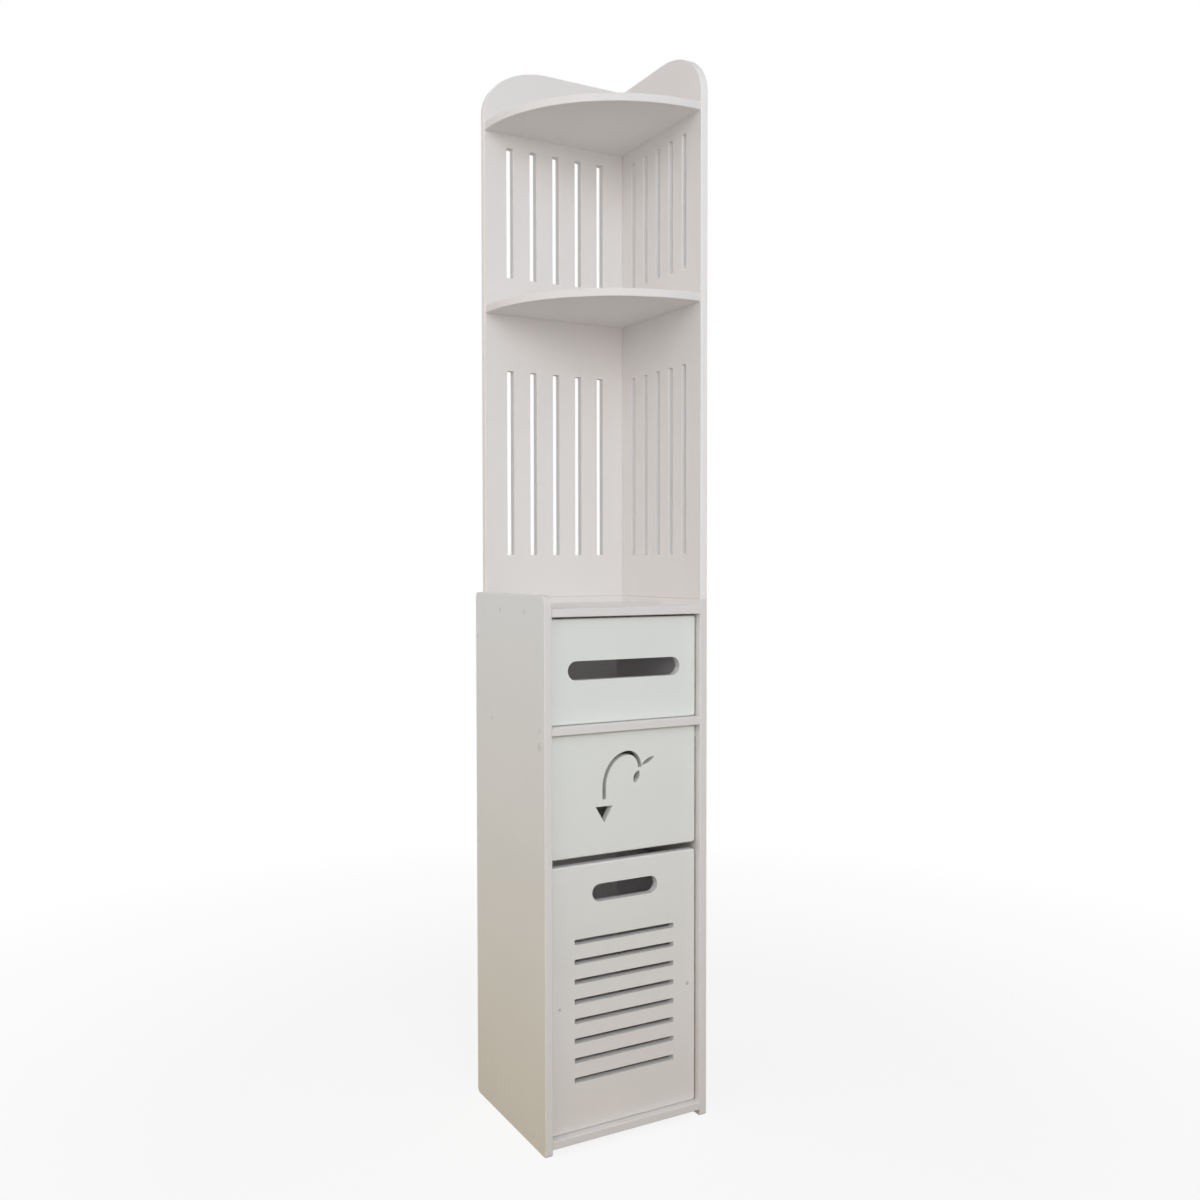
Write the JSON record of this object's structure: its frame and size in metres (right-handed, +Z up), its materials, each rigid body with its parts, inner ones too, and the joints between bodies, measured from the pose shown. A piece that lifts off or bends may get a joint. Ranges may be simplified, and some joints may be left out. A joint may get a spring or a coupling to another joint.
{
  "type": "corner storage rack",
  "caption": "Narrow corner storage rack: louvred pull-out bin, swinging waste flap, slotted tissue drawer and open corner shelves between two slotted walls.",
  "frame": {"origin": "on the floor under the middle of the rack's plan", "axes": "+Z up, -Y towards the front where the drawers open, +X to the right, towards the tall side wall"},
  "size_m": [0.203, 0.18, 1.2],
  "materials": {
    "foam_board": "satin foamed board, pale warm grey white",
    "drawer_fronts": "satin foamed board, pale warm grey white",
    "drawer_boxes": "satin foamed board, pale warm grey white",
    "white_screws": "white coated heads",
    "zinc_screws": "zinc plated",
    "dowels": "plain beech",
    "washers": "natural nylon"
  },
  "bodies": {
    "carcass": {"left_side_panel": "foam_board", "right_side_panel_lower": "foam_board", "right_side_panel_upper": "foam_board", "back_panel_lower": "foam_board", "back_panel_upper": "foam_board", "bottom_board": "foam_board", "divider_board": "foam_board", "top_board": "foam_board", "middle_corner_shelf": "foam_board", "top_corner_shelf": "foam_board", "left_board_screws": "white_screws", "right_board_screws": "white_screws", "back_board_screws": "white_screws", "lower_wall_screws": "white_screws", "upper_wall_screws": "white_screws", "shelf_screws": "white_screws", "seam_dowels": "dowels"},
    "tissue_drawer": {"tissue_drawer_front": "drawer_fronts", "tissue_drawer_left_side": "drawer_boxes", "tissue_drawer_right_side": "drawer_boxes", "tissue_drawer_back": "drawer_boxes", "tissue_drawer_floor": "drawer_boxes", "tissue_drawer_screws": "zinc_screws", "tissue_drawer_dowels": "dowels"},
    "bin_drawer": {"bin_drawer_front": "drawer_fronts", "bin_drawer_left_side": "drawer_boxes", "bin_drawer_right_side": "drawer_boxes", "bin_drawer_back": "drawer_boxes", "bin_drawer_floor": "drawer_boxes", "bin_drawer_screws": "zinc_screws", "bin_drawer_dowels": "dowels"},
    "trash_flap_swing": {"trash_flap": "drawer_fronts", "flap_pivot_screws": "white_screws", "flap_spacer_washers": "washers"}
  },
  "joints": [
    {"name": "tissue_drawer_slide", "type": "slide", "parent": "carcass", "child": "tissue_drawer", "axis": [0, -1, 0], "range_m": [0, 0.13]},
    {"name": "bin_drawer_slide", "type": "slide", "parent": "carcass", "child": "bin_drawer", "axis": [0, -1, 0], "range_m": [0, 0.14]},
    {"name": "trash_flap_hinge", "type": "hinge", "parent": "carcass", "child": "trash_flap_swing", "pos_m": [0, -0.0775, 0.432], "axis": [1, 0, 0], "range_deg": [-85, 85]}
  ]
}
